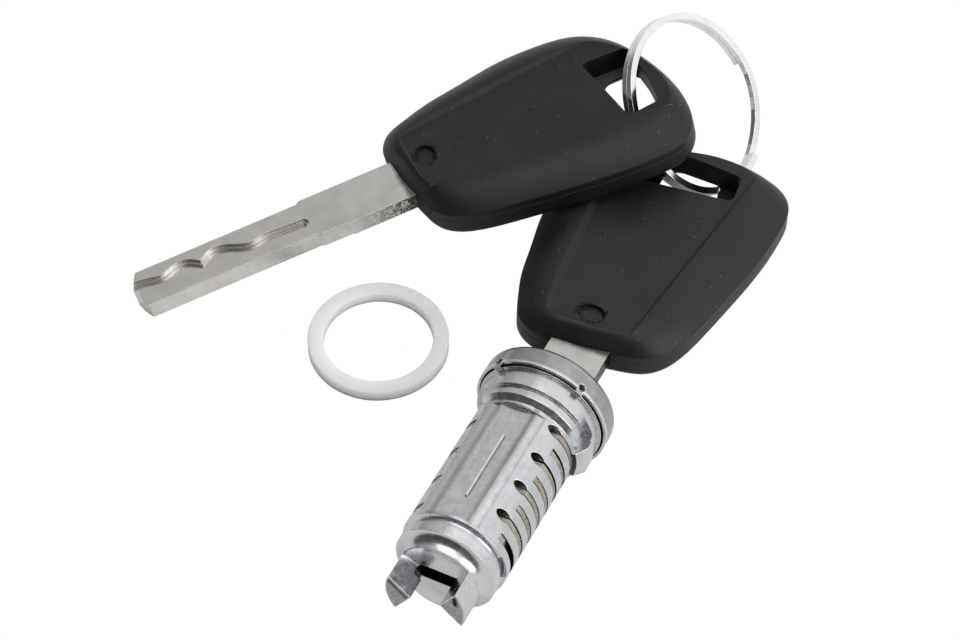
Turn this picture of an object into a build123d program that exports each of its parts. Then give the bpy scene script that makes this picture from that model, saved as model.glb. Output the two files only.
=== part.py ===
from build123d import *
import os
from math import cos, radians, sin, sqrt

os.makedirs("parts", exist_ok=True)

# Lock frame: X runs along the lock towards its tail, Z is up, Y is to the side of the key's near edge.
# The origin is on the lock's axis, where the back rim of the face cap seats against the door.

# How the set lies: the cap's edge and the key's bow carry the lock, so its nose is down a little.
nose_down = 3.0

# Running and seating clearances
seat_gap = 0.02
pin_gap = 0.04
edge_gap = 0.15

# Barrel of the plug, which the steps, the cap, the wafers and their slots all follow
barrel_r = 8.1

# Face cap, a pressed steel cup crimped over the head
cap_r = barrel_r + 2.3
cap_sheet = 0.4
cap_depth = 4.1
cap_edge_r = 1.5
cap_slot_w = 10.0
cap_slot_h = 3.6
crimp_angles = (55, 134, 235, 314)
crimp_r = 0.6
crimp_lip = 0.28
crimp_half_angle = 3.5

# Head, collar and rings of the die-cast plug, each a step out from the barrel
head_gap = 0.25
flange_back = 0.35
collar_r = barrel_r + 1.25
collar_end = 3.3
second_r = barrel_r + 0.75
second_end = 5.1
ear_r = barrel_r + 1.75
ear_flat = 4.6
ear_foot = 7.2
ear_from = -20
ear_to = 14
side_cut_from = 147
side_cut_to = 200
side_cut_start = 2.2
notch_from = 12
notch_to = 36
notch_start = 2.0

# Barrel's end, groove, land and neck
barrel_end = 29.1
groove_r = barrel_r - 0.7
groove_end = 29.9
land_r = barrel_r - 0.35
land_end = 31.7
neck_r = barrel_r - 1.8
neck_end = 33.6

# Flat panel on top of the barrel, with the two valleys beside it and the thin rib on it
panel_lean = 6.5
panel_half_angle = 21.5
panel_depth = 0.12
panel_start = 6.2
panel_end = 28.3
valley_r = 2.4
valley_depth = 0.28
valley_angle = 24.5
rib_from = 11.6
rib_to = 24.0
rib_width = 0.35
rib_height = 0.25
rib_angle = 95
arc_rib_x = 5.95
arc_rib_from = 82
arc_rib_to = 113

# Tail: dished face with the broached slot, and two drive claws
dish_r = neck_r - 0.3
dish_depth = 0.4
claw_r = neck_r - 0.1
claw_tip = 38.3
claw_ridge = (2.3, 0.6)
claw_top = (4.6, 4.2)
claw_low = (5.8, -2.3)
claw_out_top = (8.0, 7.0)
claw_out_low = (8.5, -3.5)
tail_slot_w = 8.1
tail_slot_flat = 5.6
tail_slot_h = 2.6
tail_slot_drop = 0.3
tail_floor = 31.7

# Key: blade and its milled track
blade_wide = 9.0
blade_narrow = 7.9
blade_mid = 8.5
blade_thick = 2.7
blade_length = 45.0
near_step_1 = 10.0
near_step_2 = 15.0
far_step = 16.8
blade_tang = 12.0
tang_width = 7.0
shoulder_in = 1.5
tip_bevel = 1.3
track_w = 1.9
track_depth = 0.85
key_gap = 0.14

# Wafers and their springs
wafer_count = 8
wafer_first = 6.9
wafer_pitch = 2.84
wafer_thick = 0.85
wafer_half = barrel_r - 2.85
wafer_cut_y = barrel_r - 2.5
wafer_cut_z = 1.9
slot_play = 0.17
wafer_leans = (-0.12, 0.12, 0.12, -0.12, -0.12, -0.12, 0.0, 0.0)
wafer_window = 4.75
wafer_window_h = 3.1
wafer_flush = 0.12
last_wafer_flush = 1.4
wafer_travel = 0.7
pocket_z = barrel_r - 2.0
pocket_r = 0.88
pocket_floor = 0.8
ear_tab = 0.8
ear_tab_y = 3.2
ear_tab_top = pocket_z + 0.6
spring_r = 0.6
spring_wire = 0.22
spring_turns = 4
tail_recess_x = barrel_end
tail_recess_w = 0.55
tail_recess_from = -5
tail_recess_to = 26

# Bow: two shells that clamp the blade, with the outline at the parting line as (along, across) points
bow_front = -13.7
bow_edge = ((0.8, -5), (0.2, -9), (-1.3, -10.9), (-4.1, -12.3), (-9, -14), (-14, -15), (-22.1, -16.5),
            (-29, -16.5), (-34.9, -15.2), (-38.7, -12.2), (-41.4, -7.7), (-43.1, -2.8), (-44.4, 3),
            (-44.6, 9), (-43.3, 14.1), (-40.6, 16.8), (-36, 17.6), (-30, 17.4), (-21, 16.2), (-13.1, 14.8),
            (-7, 13.3), (-4, 11.8), (-2.1, 9.8), (-0.6, 5), (0.3, 0))
bow_mid = (-22.0, 0.3)
bow_half_length = 22.4
bow_half_width = 17.0
bow_top = 4.1
bow_bottom = 3.4
side_wall = 1.1
shoulder_steps = 5
shoulder_across = 7.0
shoulder_along = 2.6
bottom_round = 1.6
panel_sink = 0.35
panel_front = (-2.4, 6.4)
panel_back = (-50.0, 11.7)
hole_edge = ((-32.9, -5.6), (-34.1, 2.0), (-35.1, 9.4), (-40.5, 8.8), (-40.9, 2.0), (-40.5, -5.3))
hole_round = (0.8, 14.0, 1.2, 1.2, 20.0, 0.8)
mouth_front = -34.3
mouth_back = -41.1
mouth_step = -38.2
mouth_low = -3.4
mouth_side = 5.6
mouth_high = 9.9
mouth_lip = 0.5
mouth_round = (2.8, 1.2, 1.2, 1.0, 1.2, 2.8)
dimple_middle = (-4.5, -0.4)
dimple_size = (1.6, 2.1)
dimple_depth = 0.55

# Split ring
wire_thick = 1.1
wire_width = 0.95
ring_r = 14.08
ring_start = 256.5
ring_crossing = 66
ring_in_key = (-51.7272, -0.6452, -2.4134)
ring_in_spare = (-53.0018, -9.1109, 6.6629)
ring_axis = (0.0006, 0.7312, 0.6821)

# Washer
washer_r = 10.8
washer_hole = 8.4
washer_thick = 2.0
washer_at = (-8.3, -31.2)

# The milled track's middle line, from its rounded end near the shoulder to the tip
track_line = ((17.0, 0.6), (20.6, 0.3), (23.5, 0.35), (25.3, 0.7), (27.9, -0.1), (29.7, -1.1), (32.0, -1.1),
              (33.6, 0.2), (36.0, -1.35), (37.8, -1.2), (39.9, -0.4), (42.5, -0.8), (46.5, -0.9))

# Stations and sizes that follow from the ones above
head_front = cap_sheet - cap_depth
head_r = cap_r - cap_sheet - head_gap
slot_half = wafer_thick / 2 + slot_play
slot_top = wafer_half + edge_gap
keyway_half_h = blade_thick / 2 + key_gap
shoulder_stop = bow_front + far_step + 2 * edge_gap

# Shutter: a flap on a cross pin behind the cap, held open by the blade
flap_thick = 0.6
flap_length = 4.5
flap_half_w = 4.6
shutter_x = -2.6
shutter_z = 3.0
shutter_pin_r = 0.4
shutter_pin_half = 6.2
knuckle_r = 0.8
knuckle_in = 1.7
flap_low = keyway_half_h + 0.1
shutter_wire = 0.2
shutter_turns = 6

LYING = Rot(0, -nose_down, 0)
floor_z = -(cap_r * cos(radians(nose_down)) + (cap_depth - cap_edge_r) * sin(radians(nose_down)))
KEY_IN_LOCK = LYING * Pos(bow_front, 0, 0)

# The spare key leans on the other key's bow: where its blade leaves the bow, then its turn, dip and roll
spare_at = (-31.754, -38.346, -0.972)
spare_turn = -42.335
spare_dip = 9.937
spare_roll = 8.64
SPARE = Pos(*spare_at) * Rot(0, 0, spare_turn) * Rot(0, spare_dip, 0) * Rot(spare_roll, 0, 0)

ALONG_X = Rot(0, 90, 0)


def turned(points):
    """A solid turned about the lock's axis from (x, radius) points."""
    return revolve(make_face(Polyline(*[(x, r, 0) for x, r in points], close=True)), Axis.X)


def disc(x0, x1, radius):
    """A cylinder on the lock's axis between two stations."""
    return Pos((x0 + x1) / 2, 0, 0) * ALONG_X * Cylinder(radius, x1 - x0)


def block(x0, x1, y0, y1, z0, z1):
    """A box from its low and high corners."""
    return Pos((x0 + x1) / 2, (y0 + y1) / 2, (z0 + z1) / 2) * Box(x1 - x0, y1 - y0, z1 - z0)


def at_angle(angle, shape):
    """Turns a shape about the lock's axis: zero points to +Y, ninety to +Z."""
    return Rot(angle, 0, 0) * shape


def wafer_x(i):
    return wafer_first + i * wafer_pitch


def sector(x0, x1, r0, r1, a0, a1):
    """A ring sector about the lock's axis between two angles."""
    outer = disc(x0, x1, r1) - disc(x0 - 1, x1 + 1, r0)
    middle = (a0 + a1) / 2
    half = radians((a1 - a0) / 2)
    reach = r1 * 1.5
    wedge_face = make_face(Polyline((0, 0), (reach * cos(half), reach * sin(half)),
                                    (reach * cos(half), -reach * sin(half)), close=True))
    return outer & at_angle(middle, across(x0 - 1, wedge_face, x1 - x0 + 2))


def across(x, face, length):
    """Extrudes a face drawn in (y, z) along the lock's axis, from station x."""
    return extrude(Plane.YZ.offset(x) * face, length)


def plug_blank():
    """The turned outline of the casting: head, collar, rings, barrel, tail land and neck."""
    edge = cap_edge_r - cap_sheet + head_gap
    points = [(head_front, 0), (head_front, head_r - edge), (head_front + edge, head_r),
              (flange_back, head_r), (flange_back, collar_r), (collar_end, collar_r), (collar_end, second_r),
              (second_end - 0.3, second_r), (second_end + 0.5, barrel_r), (barrel_end - 0.3, barrel_r),
              (barrel_end, groove_r), (groove_end, groove_r), (groove_end, land_r), (land_end, land_r)]
    sag = ((land_end + neck_end) / 2 - 0.3, (land_r + neck_r) / 2 - 0.3)
    cove = ThreePointArc((land_end, land_r), sag, (neck_end, neck_r))
    outline = Polyline(*points) + cove + Polyline((neck_end, neck_r), (neck_end, 0), points[0])
    return revolve(make_face(outline), Axis.X)


def head_features(body):
    """The notch through the collar and the second ring, the cut across from it, and the ear."""
    through = second_end + 0.01
    body -= sector(notch_start, through, barrel_r, collar_r + 1, notch_from, notch_to)
    body -= sector(side_cut_start, second_end + 0.6, barrel_r, collar_r + 1, side_cut_from, side_cut_to)
    gusset = turned([(collar_end - 0.1, barrel_r - 0.6), (collar_end - 0.1, ear_r), (ear_flat, ear_r),
                     (ear_foot, barrel_r - 0.1), (ear_foot, barrel_r - 0.6)])
    return body + (gusset & sector(collar_end - 0.1, ear_foot, barrel_r - 0.6, ear_r + 1, ear_from, ear_to))


def top_panel(body):
    """The flat along the top of the barrel, its two valleys, the rib on it and the short curved rib."""
    flat = barrel_r * cos(radians(panel_half_angle)) - panel_depth
    length = panel_end - panel_start
    middle = (panel_start + panel_end) / 2
    body -= at_angle(panel_lean, block(panel_start, panel_end, -barrel_r, barrel_r, flat, barrel_r + 1))
    for side in (-1, 1):
        groove = Pos(middle, 0, barrel_r - valley_depth + valley_r) * ALONG_X * Cylinder(valley_r, length)
        body -= at_angle(panel_lean + side * valley_angle, groove)
    body += at_angle(rib_angle - 90, block(rib_from, rib_to, -rib_width / 2, rib_width / 2, flat - 0.5,
                                           flat + rib_height))
    half = rib_width / 2 - 0.005
    low = barrel_r - 0.4
    return body + sector(arc_rib_x - half, arc_rib_x + half, low, barrel_r + 0.15, arc_rib_from, arc_rib_to)


def wafer_turned(i, shape):
    """Odd wafers and their slots are the even ones turned half a turn about the lock's axis."""
    return shape if i % 2 == 0 else Rot(180, 0, 0) * shape


def wafer_slots(body):
    """Eight slots through the barrel: open on the spring's side, and up to the wafer's step on the other."""
    for i in range(wafer_count):
        x = wafer_x(i)
        reach = barrel_r + 1
        step = wafer_cut_y + edge_gap
        slot = block(x - slot_half, x + slot_half, -step, reach, -slot_top, slot_top)
        slot += block(x - slot_half, x + slot_half, -reach, 0, -slot_top, wafer_cut_z + edge_gap)
        depth = reach - pocket_floor
        slot += Pos(x, pocket_floor + depth / 2, pocket_z) * Rot(90, 0, 0) * Cylinder(pocket_r, depth)
        body -= wafer_turned(i, slot)
    return body


def key_passage(body):
    """The broached keyway: wide to the blade's shoulder, then narrow, then the slot with pointed ends."""
    wide = blade_wide / 2 + key_gap
    narrow = blade_narrow / 2 + key_gap
    body -= block(head_front - 1, shoulder_stop, -wide, wide, -keyway_half_h, keyway_half_h)
    body -= block(0, tail_floor, -narrow, narrow, -keyway_half_h, keyway_half_h)
    half = tail_slot_w / 2
    flat = tail_slot_flat / 2
    high = tail_slot_h / 2
    hexagon = make_face(Polyline((-half, 0), (-flat, high), (flat, high), (half, 0), (flat, -high),
                                 (-flat, -high), close=True))
    slot = across(tail_floor - 1, hexagon, neck_end - tail_floor + 2)
    return body - Pos(0, 0, -tail_slot_drop) * slot


def shutter_room(body):
    """The pocket in the head where the shutter folds away, and the holes for its pin."""
    top = shutter_z + knuckle_r + 0.35
    wide = flap_half_w + 0.2
    body -= block(head_front - 1, shutter_x + flap_length + 0.4, -wide, wide, 0, top)
    return body - Pos(shutter_x, 0, shutter_z) * Rot(90, 0, 0) * Cylinder(shutter_pin_r, 2 * shutter_pin_half)


def tail_features(body):
    """The dished end face and the two wedge-shaped drive claws, half a turn apart."""
    floor = neck_end - dish_depth
    foot = dish_r - 2.6
    bowl = ThreePointArc((neck_end, dish_r), (neck_end - 0.7 * dish_depth, dish_r - 1.0), (floor, foot))
    dish = Polyline((floor, foot), (floor, 0), (neck_end, 0), (neck_end, dish_r)) + bowl
    body -= revolve(make_face(dish), Axis.X)
    root = neck_end - dish_depth - 0.4
    wedge = make_face(Polyline(claw_ridge, claw_top, claw_out_top, claw_out_low, claw_low, close=True))
    claw = across(root, wedge, claw_tip - root) & disc(root, claw_tip, claw_r)
    face = claw.faces().sort_by(Axis.X)[-1]
    claw = chamfer(face.edges(), 0.25)
    return body + claw + Rot(180, 0, 0) * claw


def plug_core():
    body = head_features(plug_blank())
    body = top_panel(body)
    body = wafer_slots(body)
    body = shutter_room(body)
    body = tail_features(body)
    body = key_passage(body)
    recess = sector(tail_recess_x - tail_recess_w, tail_recess_x, groove_r - 0.5, barrel_r + 1,
                    tail_recess_from, tail_recess_to)
    return body - recess


def face_cap():
    """Pressed cap with a rounded edge, a key slot and four crimped lips."""
    shell = disc(-cap_depth, 0, cap_r)
    shell = fillet(shell.edges().filter_by(GeomType.CIRCLE).sort_by(Axis.X)[0], cap_edge_r)
    hollow = disc(head_front, 1, cap_r - cap_sheet)
    hollow = fillet(hollow.edges().filter_by(GeomType.CIRCLE).sort_by(Axis.X)[0], cap_edge_r - cap_sheet)
    cap = shell - hollow
    cap -= block(-cap_depth - 1, 0, -cap_slot_w / 2, cap_slot_w / 2, -cap_slot_h / 2, cap_slot_h / 2)
    lip_x = flange_back + seat_gap
    lip_end = lip_x + crimp_lip
    for angle in crimp_angles:
        start = angle - crimp_half_angle
        end = angle + crimp_half_angle
        cap += sector(-0.2, lip_end, cap_r - cap_sheet, cap_r - 0.08, start, end)
        cap += sector(lip_x, lip_end, head_r - crimp_lip, cap_r - 0.08, start, end)
        cap -= at_angle(angle, Pos(-0.6, cap_r + 0.3, 0) * Sphere(crimp_r))
    return cap


def shutter():
    """The flap that closes the key slot, folded back along the blade, with its two knuckles."""
    end = shutter_x + flap_length
    flap = block(shutter_x, end, -flap_half_w, flap_half_w, flap_low, flap_low + flap_thick)
    length = flap_half_w - knuckle_in
    for side in (-1, 1):
        middle = side * (knuckle_in + length / 2)
        flap += Pos(shutter_x, middle, shutter_z) * Rot(90, 0, 0) * Cylinder(knuckle_r, length)
        low, high = sorted((side * knuckle_in, side * flap_half_w))
        flap += block(shutter_x - knuckle_r, shutter_x, low, high, flap_low + 0.1, shutter_z)
    bore = Cylinder(shutter_pin_r + pin_gap, 2 * flap_half_w + 1)
    return flap - Pos(shutter_x, 0, shutter_z) * Rot(90, 0, 0) * bore


def shutter_pin():
    return Pos(shutter_x, 0, shutter_z) * Rot(90, 0, 0) * Cylinder(shutter_pin_r, 2 * shutter_pin_half)


def coil(radius, wire, turns, length):
    """A small coil along Z from zero to its length."""
    path = Helix((length - wire) / turns, length - wire, radius)
    section = Plane(origin=path @ 0, z_dir=path % 0) * Rectangle(wire * 0.8, wire * 0.8)
    return Pos(0, 0, wire / 2) * sweep(section, path=path, is_frenet=True)


def shutter_spring():
    """A small torsion coil round the pin, between the flap's knuckles."""
    length = 2 * knuckle_in - 2 * edge_gap
    radius = shutter_pin_r + pin_gap + shutter_wire / 2
    turns = coil(radius, shutter_wire, shutter_turns, length)
    return Pos(shutter_x, length / 2, shutter_z) * Rot(90, 0, 0) * turns


def wafer(i):
    """A stamped wafer: round ends, a window for the blade and an ear for its spring."""
    flush = last_wafer_flush if i == wafer_count - 1 else wafer_flush
    outline = Circle(barrel_r - wafer_flush) & Rectangle(3 * barrel_r, 2 * wafer_half)
    outline -= Pos(flush - 2 * barrel_r, 0) * Rectangle(2 * barrel_r, 2 * barrel_r)
    ear_height = ear_tab_top - wafer_half + 0.5
    outline += Pos(ear_tab_y + ear_tab / 2, ear_tab_top - ear_height / 2) * Rectangle(ear_tab, ear_height)
    corner = barrel_r - wafer_cut_y
    outline -= Pos(-wafer_cut_y - corner / 2, wafer_cut_z + barrel_r / 2) * Rectangle(corner, barrel_r)
    outline -= Rectangle(2 * wafer_window, wafer_window_h)
    return wafer_turned(i, across(wafer_x(i) + wafer_leans[i] - wafer_thick / 2, outline, wafer_thick))


def wafer_spring(i):
    """The spring between the pocket's floor and the wafer's ear."""
    turn = Pos(wafer_x(i), pocket_floor, pocket_z) * Rot(-90, 0, 0)
    length = ear_tab_y - pocket_floor
    return wafer_turned(i, turn * coil(spring_r - spring_wire / 2, spring_wire, spring_turns, length))


def blade_outline():
    wide = blade_wide / 2
    mid = blade_mid / 2
    narrow = blade_narrow / 2
    ramp = 0.7
    tang = tang_width / 2
    tip = blade_length
    return make_face(Polyline(
        (-blade_tang, -tang), (-shoulder_in, -tang), (-shoulder_in, -wide), (far_step - ramp, -wide),
        (far_step, -narrow), (tip - tip_bevel, -narrow), (tip, -narrow + 2 * tip_bevel),
        (tip, narrow - 2 * tip_bevel),
        (tip - tip_bevel, narrow), (near_step_2 + ramp, narrow), (near_step_2, mid),
        (near_step_1 + ramp, mid), (near_step_1, wide), (-shoulder_in, wide), (-shoulder_in, tang), (-blade_tang, tang), close=True))


def track_cutter():
    """The track's cutter for the upper face: a wide shallow pass and a narrow deep one."""
    line = Spline(*track_line)
    end = Pos(*track_line[0])
    top = blade_thick / 2
    wide = trace(line, track_w) + end * Circle(track_w / 2)
    deep = trace(line, track_w / 2) + end * Circle(track_w / 4)
    cutter = Pos(0, 0, top - track_depth / 2) * extrude(wide, 2)
    return cutter + Pos(0, 0, top - track_depth) * extrude(deep, 2)


def key_blade():
    """Nickel silver blade with stepped shoulders and a track milled in both faces."""
    blade = Pos(0, 0, -blade_thick / 2) * extrude(blade_outline(), blade_thick)
    tip_edges = blade.edges().filter_by(Axis.Y).sort_by(Axis.X)[-2:]
    blade = chamfer(tip_edges, tip_bevel * 0.6)
    cutter = track_cutter()
    blade -= cutter
    blade -= Rot(180, 0, 0) * cutter
    return blade


def bow_outline(along, across_it):
    """The bow's outline, drawn in towards its middle by an inset along it and one across it."""
    scale_u = 1 - along / bow_half_length
    scale_v = 1 - across_it / bow_half_width
    points = [(bow_mid[0] + (u - bow_mid[0]) * scale_u, bow_mid[1] + (v - bow_mid[1]) * scale_v)
              for u, v in bow_edge]
    return make_face(Spline(*points, periodic=True))


def shoulder():
    """The rounded shoulder, from the upright wall up to the edge of the flat crown."""
    sections = []
    for k in range(shoulder_steps + 1):
        inwards = k / shoulder_steps
        rise = bow_top - (bow_top - side_wall) * (1 - inwards) ** 2
        sections.append(Pos(0, 0, rise) * bow_outline(shoulder_along * inwards, shoulder_across * inwards))
    return loft(sections)


def panel_cutter():
    """The sunk panel: a steep wall on the near side, a sloping one on the far side and at the front."""
    floor = bow_top - panel_sink
    rise = 1.0

    def trapezoid(ahead, near, far):
        front = panel_front[0] + ahead
        back = panel_back[0]
        return make_face(Polyline((front, panel_front[1] + near), (back, panel_back[1] + near),
                                  (back, -panel_back[1] - far), (front, -panel_front[1] - far), close=True))
    top = Pos(0, 0, floor + rise) * trapezoid(1.2, 0.3, 3.2)
    return loft([Pos(0, 0, floor) * trapezoid(0, 0, 0), top], ruled=True)


def hole_cutter():
    """The slot for the ring: straight walls above the parting line."""
    outline = FilletPolyline(*hole_edge, radius=hole_round, close=True)
    return extrude(make_face(outline), bow_top + 1)


def mouth_cutter():
    """The ring slot's stepped mouth through the lower shell: a thin lip, then walls that flare outwards."""
    spread = bow_bottom - mouth_lip

    def opening(grow):
        front = mouth_front + grow
        back = mouth_back - grow
        low = mouth_low - grow
        side = mouth_side + grow * 0.3
        high = mouth_high + grow * 1.2
        return make_face(FilletPolyline((front, low), (front, high), (mouth_step, high), (mouth_step, side),
                                        (back, side), (back, low), radius=mouth_round, close=True))
    throat = Pos(0, 0, -mouth_lip) * extrude(opening(0), mouth_lip)
    outside = Pos(0, 0, -bow_bottom) * opening(spread)
    return throat + loft([Pos(0, 0, -mouth_lip) * opening(0), outside], ruled=True)


def tang_room():
    """The seat of the blade's tang and shoulders, half in each shell."""
    half = blade_thick / 2 + seat_gap
    narrow = tang_width / 2 + seat_gap
    wide = blade_wide / 2 + seat_gap
    room = block(-blade_tang - seat_gap, 1, -narrow, narrow, -half, half)
    return room + block(-shoulder_in - seat_gap, 2, -wide, wide, -half, half)


def key_bow_upper():
    """Upper moulding: upright rim, rounded shoulders, crown with the sunk panel, dimple and ring slot."""
    shell = extrude(bow_outline(0, 0), side_wall) + shoulder()
    shell -= panel_cutter()
    shell -= hole_cutter()
    bottom = bow_top - panel_sink - dimple_depth
    shell -= Pos(dimple_middle[0], dimple_middle[1], bottom) * extrude(Ellipse(*dimple_size), 2)
    return shell - tang_room()


def key_bow_lower():
    """Lower moulding: a shallow tray with a rounded edge."""
    tray = Pos(0, 0, -bow_bottom) * extrude(bow_outline(0, 0), bow_bottom)
    tray = fillet(tray.edges().group_by(Axis.Z)[0], bottom_round)
    tray -= mouth_cutter()
    return tray - tang_room()


def ring_place():
    """The ring leans in both bow holes, and whatever its radius its wire passes the same spot in each."""
    first = Vector(*ring_in_key)
    second = Vector(*ring_in_spare)
    chord = second - first
    half = chord.length / 2
    outwards = chord.normalized().cross(Vector(*ring_axis).normalized())
    middle = (first + second) * 0.5 + outwards * sqrt(ring_r * ring_r - half * half)
    return Plane(origin=middle, z_dir=ring_axis).location


def split_ring():
    """Two turns of flat wire side by side, joined by a short crossing."""
    lift = wire_width / 2 + 0.02
    start = ring_start
    cross = start + 360 - ring_crossing

    def section(angle, z):
        plane = Plane(origin=(ring_r * cos(radians(angle)), ring_r * sin(radians(angle)), z),
                      x_dir=(cos(radians(angle)), sin(radians(angle)), 0),
                      z_dir=(-sin(radians(angle)), cos(radians(angle)), 0))
        return plane * Rectangle(wire_thick, wire_width)

    first = revolve(section(start, -lift), Axis.Z, cross - start)
    second = revolve(section(start, lift), Axis.Z, cross - start)
    steps = 8
    rungs = []
    for k in range(steps + 1):
        s = k / steps
        rungs.append(section(cross + ring_crossing * s, lift * (2 * (3 * s * s - 2 * s * s * s) - 1)))
    return first + loft(rungs, ruled=True) + second


def washer():
    ring = Cylinder(washer_r, washer_thick) - Cylinder(washer_hole, washer_thick + 1)
    ring = Pos(0, 0, washer_thick / 2) * ring
    return fillet(ring.edges().filter_by(GeomType.CIRCLE), 0.2)


def write_parts():
    nodes = {"plug_core": LYING * plug_core(), "face_cap": LYING * face_cap(), "shutter": LYING * shutter(),
             "shutter_pin": LYING * shutter_pin(), "shutter_spring": LYING * shutter_spring()}
    for i in range(wafer_count):
        nodes[f"wafer_{i + 1}"] = LYING * wafer(i)
        nodes[f"wafer_spring_{i + 1}"] = LYING * wafer_spring(i)
    for name, place in (("key", KEY_IN_LOCK), ("spare_key", SPARE)):
        nodes[f"{name}_blade"] = place * key_blade()
        nodes[f"{name}_bow_upper"] = place * key_bow_upper()
        nodes[f"{name}_bow_lower"] = place * key_bow_lower()
    nodes["split_ring"] = ring_place() * split_ring()
    nodes["washer"] = Pos(washer_at[0], washer_at[1], floor_z) * washer()
    for name, shape in nodes.items():
        export_step(shape, f"parts/{name}.step")


write_parts()
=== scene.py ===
from math import cos, radians, sin

import bpy
from mathutils import Matrix, Vector

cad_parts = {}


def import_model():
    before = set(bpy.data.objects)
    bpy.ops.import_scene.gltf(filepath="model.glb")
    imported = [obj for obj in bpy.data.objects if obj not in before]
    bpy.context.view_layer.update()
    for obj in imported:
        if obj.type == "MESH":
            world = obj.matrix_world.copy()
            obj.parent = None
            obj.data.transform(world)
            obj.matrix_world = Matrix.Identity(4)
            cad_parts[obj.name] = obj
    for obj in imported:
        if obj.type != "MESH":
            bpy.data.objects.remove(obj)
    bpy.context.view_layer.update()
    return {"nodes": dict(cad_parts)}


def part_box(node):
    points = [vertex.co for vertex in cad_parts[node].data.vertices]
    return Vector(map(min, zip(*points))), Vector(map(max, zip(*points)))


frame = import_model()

nodes = frame["nodes"]
scene = bpy.context.scene
scene.view_settings.view_transform = "Standard"

MM = 0.001
FLOOR_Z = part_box("washer")[0].z

# Places of the lock and of the two keys, as in the part's source, in millimetres
NOSE_DOWN = 3.0
LOCK = Matrix.Rotation(radians(-NOSE_DOWN), 4, "Y")
KEY = LOCK @ Matrix.Translation((-13.7, 0, 0))
SPARE = (Matrix.Translation((-31.754, -38.346, -0.972)) @ Matrix.Rotation(radians(-42.335), 4, "Z")
         @ Matrix.Rotation(radians(9.937), 4, "Y") @ Matrix.Rotation(radians(8.64), 4, "X"))

# Forms of the lock that its materials follow, in its own frame: (middle, half length) of the barrel and of its
# slotted run, the rib on the panel, the end of the claws and the faces round the tail
BARREL = (17.2, 11.6)
SLOTTED = (17.0, 10.73)
SLOT_INSIDE_R = (7.35, 6.95)
VALLEY_TURN, PANEL_EDGE_TURN = 77.5, 118
RIB_X = (11.8, 23.8)
RIB_Y, RIB_FOOT_Y = -0.66, -0.4
RIB_BASE_Z = (6.9, 7.0)
CLAW_END_X = (38.1, 38.25)
KEYWAY_R = (6.0, 5.85)
KEYWAY_END_X = (33.18, 33.12)
# Where painted shadow lies on the claw ends: along the left claw's crease and in the right claw's hollow
CLAW_CREASE_SHADOW = ((-5.7, 1.75), (-2.75, -0.8))
CLAW_HOLLOW_SHADOW = ((4.6, 3.5), (4.75, 2.3))

# The cap's crimps, as in the part's source
CRIMP_TURNS = (55, 134, 235, 314)
CRIMP_X, CRIMP_R = -0.45, 10.3
CAP_LIP_X = -0.2

# Forms of the keys: the blade's flat edges, and the bow's dimple and creased edge
BLADE_EDGE_Z = (1.33, 1.25)
DIMPLE_MIDDLE = (-4.5, -0.4)
DIMPLE_HALF = (1.6, 2.1)
DIMPLE_Z = (2.9, 3.0)
CREASE = ((-2.4, 6.42), (-42.0, 10.83))
CREASE_Z = (3.5, 3.6)

# Camera, at the photograph's place
camera_data = bpy.data.cameras.new("camera")
camera = bpy.data.objects.new("camera", camera_data)
scene.collection.objects.link(camera)
camera.location = (0.2616, 0.1171, 0.38006)
aim = Vector((-0.01943, -0.01936, -0.010445))
camera.rotation_euler = (aim - camera.location).to_track_quat("-Z", "Y").to_euler()
camera_data.lens = 121.9
camera_data.sensor_width = 36
camera_data.clip_start = 0.01
camera_data.clip_end = 20
scene.camera = camera


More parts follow.
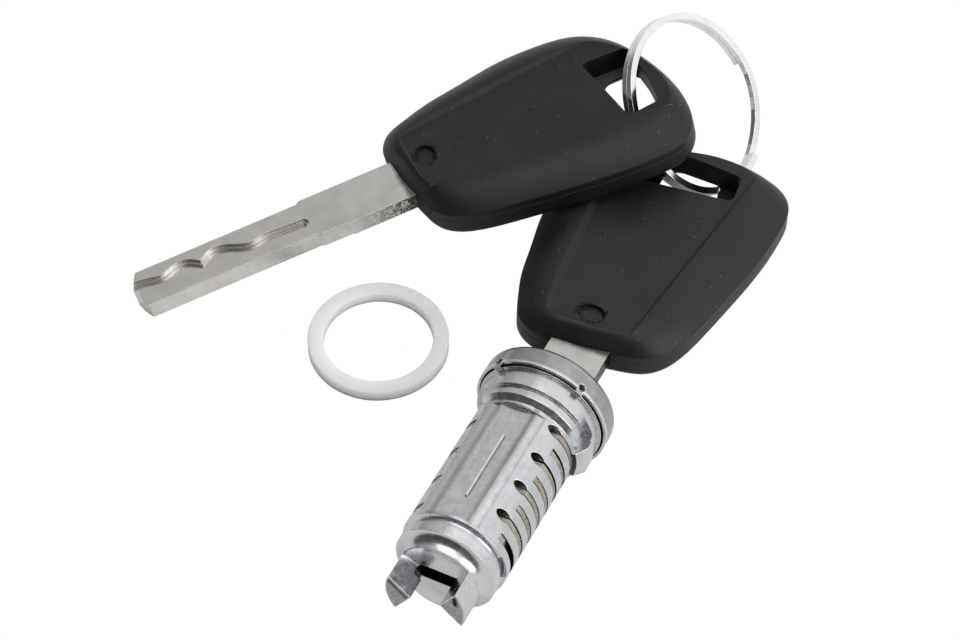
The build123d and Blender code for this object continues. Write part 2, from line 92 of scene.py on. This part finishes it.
class Nodes:
    """Short calls for building a material's node tree."""

    BEVEL_SAMPLES = 6
    EDGE_TURN = (0.02, 0.25)
    SPECK_SHARE = 0.8

    def __init__(self, tree):
        self.tree = tree

    def add(self, kind, **values):
        node = self.tree.nodes.new("ShaderNode" + kind)
        for key, value in values.items():
            setattr(node, key, value)
        return node

    def link(self, source, target):
        self.tree.links.new(source, target)

    def set(self, socket, value):
        """Links a socket to another one, or gives it a plain value."""
        if isinstance(value, bpy.types.NodeSocket):
            self.link(value, socket)
        else:
            socket.default_value = value

    def math(self, operation, a, b=0.0, clamp=False):
        node = self.add("Math", operation=operation, use_clamp=clamp)
        self.set(node.inputs[0], a)
        self.set(node.inputs[1], b)
        return node.outputs[0]

    def times(self, a, b):
        return self.math("MULTIPLY", a, b)

    def plus(self, a, b, clamp=False):
        return self.math("ADD", a, b, clamp)

    def minus(self, a, b):
        return self.math("SUBTRACT", a, b)

    def most(self, a, b):
        return self.math("MAXIMUM", a, b)

    def mix(self, a, share_a, b, share_b):
        """The sum of two values, each with its share."""
        return self.plus(self.times(a, share_a), self.times(b, share_b))

    def place(self, matrix, scale=(1, 1, 1)):
        """Coordinates in millimetres in the frame of a placed part."""
        source = self.add("TexCoord").outputs["Object"]
        inverse = matrix.inverted()
        mapping = self.add("Mapping", vector_type="POINT")
        self.link(source, mapping.inputs["Vector"])
        mapping.inputs["Scale"].default_value = (1 / MM,) * 3
        mapping.inputs["Rotation"].default_value = inverse.to_euler("XYZ")
        mapping.inputs["Location"].default_value = inverse.translation
        if scale == (1, 1, 1):
            return mapping.outputs[0]
        second = self.add("Mapping", vector_type="POINT")
        self.link(mapping.outputs[0], second.inputs["Vector"])
        second.inputs["Scale"].default_value = scale
        return second.outputs[0]

    def axis(self, vector, name):
        node = self.add("SeparateXYZ")
        self.link(vector, node.inputs[0])
        return node.outputs[name]

    def noise(self, vector, scale, detail=3.0, rough=0.5, distortion=0.0):
        node = self.add("TexNoise")
        self.link(vector, node.inputs["Vector"])
        node.inputs["Scale"].default_value = scale
        node.inputs["Detail"].default_value = detail
        node.inputs["Roughness"].default_value = rough
        node.inputs["Distortion"].default_value = distortion
        return node.outputs["Fac"]

    def specks(self, vector, scale, size):
        """Small round specks scattered over the surface: one where the value is 1."""
        node = self.add("TexVoronoi", feature="F1")
        self.link(vector, node.inputs["Vector"])
        node.inputs["Scale"].default_value = scale
        near = self.math("LESS_THAN", node.outputs["Distance"], size)
        pick = self.add("SeparateColor")
        self.link(node.outputs["Color"], pick.inputs[0])
        some = self.math("GREATER_THAN", pick.outputs[0], self.SPECK_SHARE)
        return self.times(near, some)

    def ramp(self, value, *stops):
        """A colour ramp from (position, colour or grey) stops."""
        node = self.add("ValToRGB")
        self.link(value, node.inputs[0])
        ramp = node.color_ramp
        while len(ramp.elements) < len(stops):
            ramp.elements.new(0.5)
        for element, (position, colour) in zip(ramp.elements, stops):
            element.position = position
            element.color = (*colour, 1) if isinstance(colour, tuple) else (colour, colour, colour, 1)
        return node.outputs["Color"]

    def spread(self, value, low, high, out_low=0.0, out_high=1.0):
        """Maps a value from one range to another, clamped."""
        node = self.add("MapRange", clamp=True)
        self.set(node.inputs["Value"], value)
        for name, number in (("From Min", low), ("From Max", high), ("To Min", out_low), ("To Max", out_high)):
            node.inputs[name].default_value = number
        return node.outputs["Result"]

    def blend(self, factor, a, b):
        node = self.add("Mix", data_type="RGBA", blend_type="MIX")
        self.set(node.inputs[0], factor)
        for socket, value in ((node.inputs[6], a), (node.inputs[7], b)):
            if isinstance(value, tuple):
                value = (*value, 1)
            self.set(socket, value)
        return node.outputs[2]

    def tint(self, mask, amount, colour, new):
        """A colour turned towards a new one by some amount where the mask is 1."""
        return self.blend(self.times(mask, amount), colour, new)

    def edges(self, radius):
        """One on sharp edges and zero on flat ground, from a bevelled normal."""
        bevel = self.add("Bevel", samples=self.BEVEL_SAMPLES)
        bevel.inputs["Radius"].default_value = radius
        geometry = self.add("NewGeometry")
        dot = self.add("VectorMath", operation="DOT_PRODUCT")
        self.link(bevel.outputs[0], dot.inputs[0])
        self.link(geometry.outputs["Normal"], dot.inputs[1])
        return self.spread(self.minus(1.0, dot.outputs["Value"]), *self.EDGE_TURN)

    def bump(self, height, strength, distance, radius):
        """A bumped normal over rounded edges."""
        node = self.add("Bump")
        node.inputs["Strength"].default_value = strength
        node.inputs["Distance"].default_value = distance
        self.link(height, node.inputs["Height"])
        bevel = self.add("Bevel", samples=self.BEVEL_SAMPLES)
        bevel.inputs["Radius"].default_value = radius
        self.link(bevel.outputs[0], node.inputs["Normal"])
        return node.outputs[0]

    def length(self, a, b):
        """The length of a flat vector from its two parts."""
        return self.math("SQRT", self.plus(self.times(a, a), self.times(b, b)))

    def streak(self, a, b, start, stop, half, soft):
        """One along a short line between two points of a plane, falling to zero over a soft edge."""
        run = (stop[0] - start[0], stop[1] - start[1])
        square = run[0] * run[0] + run[1] * run[1]
        da = self.minus(a, start[0])
        db = self.minus(b, start[1])
        along = self.plus(self.times(da, run[0] / square), self.times(db, run[1] / square), True)
        away = self.length(self.minus(da, self.times(along, run[0])), self.minus(db, self.times(along, run[1])))
        return self.spread(away, half, half + soft, 1.0, 0.0)

    def facing(self, name):
        """How far the surface faces along a world axis, either way."""
        geometry = self.add("NewGeometry")
        return self.math("ABSOLUTE", self.axis(geometry.outputs["Normal"], name))

    def band(self, value, middle, half, soft):
        """One where a value is within a band, falling to zero over a soft edge."""
        away = self.math("ABSOLUTE", self.minus(value, middle))
        return self.spread(away, half, half + soft, 1.0, 0.0)


def material(name, **sockets):
    """A new material with its principled shader's plain sockets set."""
    made = bpy.data.materials.new(name)
    made.use_nodes = True
    kit = Nodes(made.node_tree)
    shader = made.node_tree.nodes["Principled BSDF"]
    for key, value in sockets.items():
        shader.inputs[key.replace("_", " ")].default_value = value
    return made, kit, shader


def finish(kit, shader, colour, rough, normal=None):
    """Links what a material's nodes give to its shader."""
    for name, value in (("Base Color", colour), ("Roughness", rough), ("Normal", normal)):
        if value is not None:
            kit.link(value, shader.inputs[name])


def zinc():
    """Die-cast plug: mottled and drawn, with frosted claw ends; its slots, pockets, keyway and valleys get painted
    shade, the rib a painted highlight with a painted shade line next to it, the claw ends painted shadows and its
    sharp edges painted highlights.
    """
    made, kit, shader = material("zinc", Metallic=1.0)
    place = kit.place(LOCK)
    mottle = kit.noise(place, 0.9, 5, 0.6)
    patches = kit.noise(kit.place(LOCK, (0.06, 0.5, 0.5)), 1.1, 4, 0.6)
    grain = kit.noise(place, 9.0, 3, 0.6)
    drawn = kit.noise(kit.place(LOCK, (0.1, 1, 1)), 3.2, 3, 0.55)
    x = kit.axis(place, "X")
    y = kit.axis(place, "Y")
    z = kit.axis(place, "Z")

    colour = kit.ramp(mottle, (0.3, (0.6, 0.61, 0.63)), (0.55, (0.64, 0.65, 0.665)), (0.75, (0.68, 0.685, 0.695)))
    barrel = kit.band(x, *BARREL, 0.2)
    colour = kit.tint(kit.spread(drawn, 0.42, 0.7, 0.0, 0.3), barrel, colour, (0.48, 0.49, 0.51))
    colour = kit.tint(kit.spread(patches, 0.44, 0.66, 0.0, 0.35), barrel, colour, (0.42, 0.43, 0.445))

    # Painted shade: dark bands in the valley next to the panel and, weaker, along the panel's other edge
    turn = kit.math("ARCTAN2", z, y)
    valley = kit.band(turn, radians(VALLEY_TURN), radians(1.2), radians(4))
    panel_edge = kit.band(turn, radians(PANEL_EDGE_TURN), radians(1), radians(3))
    valley_painted_shade = kit.times(kit.most(valley, kit.times(panel_edge, 0.6)), barrel)
    colour = kit.tint(valley_painted_shade, kit.spread(patches, 0.3, 0.6, 0.35, 0.75), colour, (0.2, 0.205, 0.215))

    # Painted highlight along the top of the rib, with a painted shade line next to it
    on_top = kit.spread(z, *RIB_BASE_Z)
    rib = kit.times(kit.streak(x, y, (RIB_X[0], RIB_Y), (RIB_X[1], RIB_Y), 0.1, 0.06), on_top)
    rib_side_painted_shade = kit.times(kit.streak(x, y, (RIB_X[0], RIB_FOOT_Y), (RIB_X[1], RIB_FOOT_Y), 0.06, 0.1), on_top)
    colour = kit.tint(rib_side_painted_shade, 0.75, colour, (0.12, 0.12, 0.13))
    colour = kit.tint(rib, 0.9, colour, (0.95, 0.95, 0.96))

    frosted = kit.spread(x, *CLAW_END_X)
    cast = kit.noise(place, 5.0, 4, 0.7)
    colour = kit.blend(frosted, colour, kit.ramp(cast, (0.35, (0.22, 0.22, 0.21)), (0.65, (0.62, 0.61, 0.6))))
    # Painted shadows on the frosted claw ends: a dark line along the left claw's crease and a dark patch in the right
    # claw's hollow
    claw_painted_shadows = kit.most(kit.streak(y, z, *CLAW_CREASE_SHADOW, 0.1, 0.12), kit.streak(y, z, *CLAW_HOLLOW_SHADOW, 0.16, 0.4))
    colour = kit.tint(claw_painted_shadows, frosted, colour, (0.015, 0.015, 0.015))

    radius = kit.length(y, z)
    # Painted shade inside the slots and pockets of the slotted run: on surfaces deeper than the barrel and on walls
    # facing along X
    slot_painted_shade = kit.most(kit.spread(radius, *SLOT_INSIDE_R), kit.spread(kit.facing("X"), 0.75, 0.9))
    slot_painted_shade = kit.times(slot_painted_shade, kit.band(x, *SLOTTED, 0.02))
    colour = kit.tint(slot_painted_shade, 0.9, colour, (0.05, 0.05, 0.045))
    # Painted shade: the keyway inside the tail is made nearly black
    keyway = kit.times(kit.spread(radius, *KEYWAY_R), kit.spread(x, *KEYWAY_END_X))
    colour = kit.tint(keyway, 0.95, colour, (0.02, 0.02, 0.02))
    # Painted highlight on sharp edges
    colour = kit.tint(kit.edges(0.1 * MM), 0.75, colour, (0.95, 0.96, 0.97))

    rough = kit.spread(kit.mix(mottle, 0.6, grain, 0.4), 0.35, 0.65, 0.14, 0.34)
    rough = kit.plus(rough, kit.times(frosted, 0.35), True)
    height = kit.times(kit.mix(mottle, 0.7, grain, 0.3), kit.spread(barrel, 0.0, 1.0, 0.35, 1.0))
    height = kit.plus(height, kit.times(kit.times(cast, frosted), 2.0))
    finish(kit, shader, colour, rough, kit.bump(height, 0.13, 0.03 * MM, 0.12 * MM))
    return made


def cap_steel():
    """Plated cap: turned rings, a painted highlight on its lip, painted shade in the dimples of its crimps with a
    painted highlight round each, and painted highlights on its sharp edges.
    """
    made, kit, shader = material("cap_steel", Metallic=1.0)
    place = kit.place(LOCK)
    blotch = kit.noise(place, 0.5, 4, 0.6)
    rings = kit.noise(kit.place(LOCK, (4.0, 0.25, 0.25)), 1.0, 3, 0.6)
    colour = kit.ramp(blotch, (0.3, (0.34, 0.34, 0.342)), (0.7, (0.46, 0.46, 0.46)))
    colour = kit.blend(kit.spread(rings, 0.42, 0.62, 0.0, 0.25), colour, (0.25, 0.25, 0.252))
    # Painted highlight: a bright band round the lip
    lip = kit.band(kit.axis(place, "X"), CAP_LIP_X, 0.16, 0.2)
    colour = kit.tint(lip, 0.7, colour, (0.85, 0.85, 0.85))
    for angle in CRIMP_TURNS:
        point = (CRIMP_X, CRIMP_R * cos(radians(angle)), CRIMP_R * sin(radians(angle)))
        gap = kit.add("VectorMath", operation="DISTANCE")
        kit.link(place, gap.inputs[0])
        gap.inputs[1].default_value = point
        away = gap.outputs["Value"]
        # Painted highlight: a light ring round each crimp dimple
        colour = kit.tint(kit.band(away, 0.78, 0.04, 0.12), 0.25, colour, (0.85, 0.85, 0.85))
        # Painted shade: each crimp dimple is made nearly black
        colour = kit.blend(kit.spread(away, 0.66, 0.5), colour, (0.02, 0.02, 0.02))
    # Painted highlight on sharp edges
    colour = kit.tint(kit.edges(0.16 * MM), 0.7, colour, (0.95, 0.95, 0.95))
    rough = kit.spread(rings, 0.3, 0.7, 0.16, 0.27)
    finish(kit, shader, colour, rough, kit.bump(blotch, 0.3, 0.05 * MM, 0.12 * MM))
    return made


def wafer_brass():
    """Dull stamped brass, with painted shade on its flat faces and painted highlights on its edges."""
    made, kit, shader = material("wafer_brass", Metallic=1.0)
    place = kit.place(LOCK)
    stain = kit.noise(place, 1.6, 4, 0.6)
    colour = kit.ramp(stain, (0.3, (0.27, 0.23, 0.19)), (0.55, (0.44, 0.385, 0.33)), (0.8, (0.56, 0.505, 0.45)))
    # Painted shade on the flat faces
    flat = kit.spread(kit.facing("X"), 0.75, 0.9)
    colour = kit.tint(flat, 0.85, colour, (0.06, 0.05, 0.045))
    # Painted highlight on sharp edges
    colour = kit.tint(kit.edges(0.1 * MM), 0.6, colour, (0.9, 0.84, 0.78))
    rough = kit.spread(stain, 0.3, 0.7, 0.36, 0.55)
    finish(kit, shader, colour, rough, kit.bump(stain, 0.3, 0.02 * MM, 0.1 * MM))
    return made


def dark_wire(name, low, high):
    """Stained grey steel between two tones."""
    made, kit, shader = material(name, Metallic=1.0)
    stain = kit.noise(kit.place(LOCK), 4.0, 3, 0.6)
    colour = kit.ramp(stain, (0.3, (low,) * 3), (0.7, (high,) * 3))
    finish(kit, shader, colour, kit.spread(stain, 0.3, 0.7, 0.3, 0.5))
    return made


def blade_nickel(name, place_matrix, painted_light_level):
    """Brushed blade, with dirt on its edges near the bow, a painted shadow where it meets the bow, painted highlights
    on its edges, and a lightness given per key as painted light.
    """
    made, kit, shader = material(name, Metallic=1.0)
    place = kit.place(place_matrix)
    brushed = kit.noise(kit.place(place_matrix, (0.15, 1, 1)), 9.0, 3, 0.6)
    cloud = kit.noise(place, 0.35, 3, 0.5)
    # The same nickel is made lighter or darker per key as painted light
    dull = (0.53 * painted_light_level, 0.517 * painted_light_level, 0.495 * painted_light_level)
    clear = (0.63 * painted_light_level, 0.613 * painted_light_level, 0.587 * painted_light_level)
    colour = kit.ramp(cloud, (0.3, dull), (0.7, clear))
    x = kit.axis(place, "X")
    edge = kit.spread(kit.math("ABSOLUTE", kit.axis(place, "Z")), *BLADE_EDGE_Z)
    near_bow = kit.spread(x, 9.0, 2.0)
    scuff = kit.spread(kit.noise(place, 1.9, 5, 0.72, 0.9), 0.47, 0.52)
    dirt = kit.times(kit.times(edge, near_bow), scuff)
    colour = kit.tint(dirt, 0.95, colour, (0.02, 0.018, 0.016))
    # Painted shadow: a dark band on the blade where it meets the bow
    bow_contact_painted_shadow = kit.spread(kit.plus(x, kit.times(cloud, 1.2)), 1.7, 0.9)
    colour = kit.tint(bow_contact_painted_shadow, 0.85, colour, (0.06, 0.055, 0.05))
    # Painted highlight on sharp edges
    colour = kit.tint(kit.edges(0.12 * MM), 0.5, colour, (0.92, 0.91, 0.9))
    rough = kit.spread(brushed, 0.3, 0.7, 0.24, 0.36)
    finish(kit, shader, colour, rough, kit.bump(brushed, 0.06, 0.02 * MM, 0.12 * MM))
    return made


def bow_plastic(name, place_matrix, seed, crease_shade_and_seam_grey, half):
    """Black plastic: scratched and dusty, with a ragged dimple edge, a painted shade line along its creased edge and
    a parting line.
    """
    made, kit, shader = material(name, Specular_IOR_Level=0.34)
    place = kit.place(place_matrix)
    shifted = kit.place(place_matrix @ Matrix.Translation((seed, -seed, 0)))
    grain = kit.noise(place, 14.0, 3, 0.6)
    cloud = kit.noise(shifted, 0.16, 3, 0.5)
    colour = kit.ramp(cloud, (0.3, (0.007, 0.007, 0.0072)), (0.7, (0.012, 0.012, 0.0122)))
    turned = kit.place(place_matrix @ Matrix.Rotation(radians(25), 4, "Z"), (0.25, 5, 5))
    scratch = kit.spread(kit.noise(turned, 1.0, 4, 0.7), 0.66, 0.72)
    colour = kit.tint(scratch, 0.3, colour, (0.07, 0.07, 0.07))
    colour = kit.tint(kit.specks(shifted, 1.15, 0.085), 0.7, colour, (0.3, 0.29, 0.28))

    x = kit.axis(place, "X")
    y = kit.axis(place, "Y")
    z = kit.axis(place, "Z")
    across = kit.math("DIVIDE", kit.plus(x, -DIMPLE_MIDDLE[0]), DIMPLE_HALF[0])
    aside = kit.math("DIVIDE", kit.plus(y, -DIMPLE_MIDDLE[1]), DIMPLE_HALF[1])
    rag = kit.times(kit.minus(kit.noise(shifted, 1.1, 4, 0.75), 0.5), 2.2)
    ragged = kit.band(kit.plus(kit.length(across, aside), rag), 0.98, 0.15, 0.05)
    ragged = kit.times(ragged, kit.spread(z, *DIMPLE_Z))
    colour = kit.blend(ragged, colour, (0.001, 0.001, 0.001))
    # Painted shade: a dark line drawn along the creased edge of the bow
    edge = kit.times(kit.streak(x, y, *CREASE, half, 0.07), kit.spread(z, *CREASE_Z))
    colour = kit.tint(edge, 0.8, colour, (crease_shade_and_seam_grey,) * 3)
    parting = kit.band(z, 0.0, 0.035, 0.03)
    colour = kit.tint(parting, 0.85, colour, (crease_shade_and_seam_grey * 0.5,) * 3)

    rough = kit.spread(kit.mix(grain, 0.4, cloud, 0.6), 0.35, 0.65, 0.4, 0.52)
    rough = kit.plus(rough, kit.times(ragged, 0.4), True)
    height = kit.minus(kit.times(grain, 0.35), kit.most(parting, ragged))
    finish(kit, shader, colour, rough, kit.bump(height, 0.35, 0.05 * MM, 0.35 * MM))
    return made


def ring_nickel():
    """Bright nickel plate with fine unevenness."""
    made, kit, shader = material("ring_nickel", Metallic=1.0)
    place = kit.place(Matrix.Identity(4))
    cloud = kit.noise(place, 0.6, 3, 0.5)
    fine = kit.noise(place, 8.0, 3, 0.6)
    colour = kit.ramp(cloud, (0.3, (0.84, 0.84, 0.84)), (0.7, (0.94, 0.94, 0.93)))
    rough = kit.spread(fine, 0.3, 0.7, 0.1, 0.2)
    finish(kit, shader, colour, rough, kit.bump(fine, 0.05, 0.01 * MM, 0.12 * MM))
    return made


def washer_plastic():
    """Milky plastic that lets light through."""
    made, kit, shader = material("washer_plastic", Subsurface_Weight=0.8, Subsurface_Scale=0.006,
                                 Specular_IOR_Level=0.4)
    shader.inputs["Subsurface Radius"].default_value = (1.0, 1.0, 1.0)
    place = kit.place(Matrix.Identity(4))
    cloud = kit.noise(place, 0.35, 4, 0.6)
    fine = kit.noise(place, 4.0, 3, 0.6)
    colour = kit.ramp(cloud, (0.3, (0.89, 0.9, 0.905)), (0.7, (0.95, 0.955, 0.96)))
    rough = kit.spread(fine, 0.3, 0.7, 0.4, 0.55)
    finish(kit, shader, colour, rough, kit.bump(fine, 0.2, 0.03 * MM, 0.2 * MM))
    return made


def paint(node, made):
    """Gives one material to a CAD node."""
    slots = nodes[node].data.materials
    if len(slots) == 0:
        slots.append(made)
    for slot in nodes[node].material_slots:
        slot.material = made


brass = wafer_brass()
wire = dark_wire("spring_wire", 0.3, 0.45)
stamped = dark_wire("stamped_steel", 0.35, 0.5)
paint("plug_core", zinc())
paint("face_cap", cap_steel())
paint("shutter", stamped)
paint("shutter_pin", stamped)
paint("shutter_spring", wire)
for i in range(1, 9):
    paint(f"wafer_{i}", brass)
    paint(f"wafer_spring_{i}", wire)
# Each key's frame, the shift of its patterns, the grey and half width of the painted shade line along its creased
# edge (the parting line takes half that grey), and its blade's lightness, set per key as painted light
for key_name, key_place, seed, crease_shade_and_seam_grey, half, painted_light_level in (("key", KEY, 3.0, 0.002, 0.13, 0.95),
                                                     ("spare_key", SPARE, 17.0, 0.1, 0.05, 1.2)):
    paint(f"{key_name}_blade", blade_nickel(f"{key_name}_blade_nickel", key_place, painted_light_level))
    plastic = bow_plastic(f"{key_name}_bow_plastic", key_place, seed, crease_shade_and_seam_grey, half)
    paint(f"{key_name}_bow_upper", plastic)
    paint(f"{key_name}_bow_lower", plastic)
paint("split_ring", ring_nickel())
paint("washer", washer_plastic())


def floor():
    """A plain floor that looks white to the camera and pale to everything else."""
    mesh = bpy.data.meshes.new("floor")
    half = 2.5
    mesh.from_pydata([(-half, -half, FLOOR_Z), (half, -half, FLOOR_Z), (half, half, FLOOR_Z), (-half, half, FLOOR_Z)],
                     [], [(0, 1, 2, 3)])
    plane = bpy.data.objects.new("floor", mesh)
    scene.collection.objects.link(plane)
    made = bpy.data.materials.new("floor_white")
    made.use_nodes = True
    kit = Nodes(made.node_tree)
    kit.tree.nodes.clear()
    lit = kit.add("BsdfDiffuse")
    lit.inputs["Color"].default_value = (0.78, 0.78, 0.78, 1)
    white = kit.add("Emission")
    seen = kit.add("MixShader")
    kit.link(kit.add("LightPath").outputs["Is Camera Ray"], seen.inputs[0])
    kit.link(lit.outputs[0], seen.inputs[1])
    kit.link(white.outputs[0], seen.inputs[2])
    kit.link(seen.outputs[0], kit.add("OutputMaterial").inputs[0])
    mesh.materials.append(made)
    plane.location.z = -0.00002


def area(name, where, size, energy):
    """A square soft light that looks at the middle of the set."""
    data = bpy.data.lights.new(name, "AREA")
    data.energy = energy
    data.shape = "SQUARE"
    data.size = size
    lamp = bpy.data.objects.new(name, data)
    scene.collection.objects.link(lamp)
    lamp.location = where
    lamp.rotation_euler = (Vector((-0.02, -0.01, 0)) - Vector(where)).to_track_quat("-Z", "Y").to_euler()


def world():
    """A studio that brightens from one side to the other."""
    made = bpy.data.worlds.new("studio")
    scene.world = made
    made.use_nodes = True
    kit = Nodes(made.node_tree)
    shade = made.node_tree.nodes["Background"]
    direction = kit.add("TexCoord").outputs["Generated"]
    lean = kit.mix(kit.axis(direction, "X"), -0.6, kit.axis(direction, "Y"), 0.25)
    lean = kit.plus(lean, kit.times(kit.axis(direction, "Z"), 0.3))
    colour = kit.ramp(kit.spread(lean, -0.5, 0.7), (0.0, 0.06), (0.35, 0.13), (0.58, 0.4), (0.7, 0.6), (0.81, 0.6),
                      (0.95, 1.0))
    kit.link(colour, shade.inputs["Color"])
    shade.inputs["Strength"].default_value = 1.0


floor()
world()
area("key_light", (-0.05, 0.0, 0.9), 0.8, 3.7)
area("side_light", (0.0, 0.87, 0.5), 0.7, 4.8)
